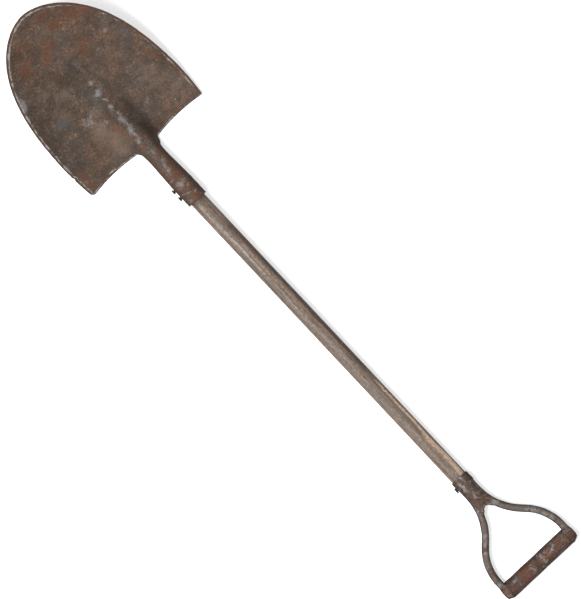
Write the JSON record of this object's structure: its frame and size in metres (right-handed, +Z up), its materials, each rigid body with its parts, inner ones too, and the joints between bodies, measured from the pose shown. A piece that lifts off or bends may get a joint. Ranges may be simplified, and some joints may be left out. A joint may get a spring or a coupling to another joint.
{
  "type": "garden shovel",
  "caption": "Round-point digging shovel: dished steel blade with a ridged, rolled socket, turned wooden shaft and a D-shaped grip, lying on its back.",
  "frame": {"origin": "bottom centre of the whole tool as it lies on its back on a floor", "axes": "+Y along the shaft towards the blade's point, +Z up out of the hollow face, X across the blade; the tool is symmetric about the YZ plane but for its rivets"},
  "size_m": [0.2248, 1.1022, 0.0988],
  "materials": {
    "blade_steel": "rusted and pitted",
    "shaft_wood": "weathered, bare",
    "yoke_iron": "rusted, worn grey on the arms",
    "grip_steel": "rusted, worn",
    "rivet_steel": "dark rust"
  },
  "bodies": {
    "root": {"blade": "blade_steel", "shaft": "shaft_wood", "socket_rivet_front": "rivet_steel", "socket_rivet_rear": "rivet_steel", "yoke": "yoke_iron", "yoke_rivet": "rivet_steel", "grip_tube": "grip_steel", "grip_pin": "rivet_steel"}
  },
  "joints": []
}
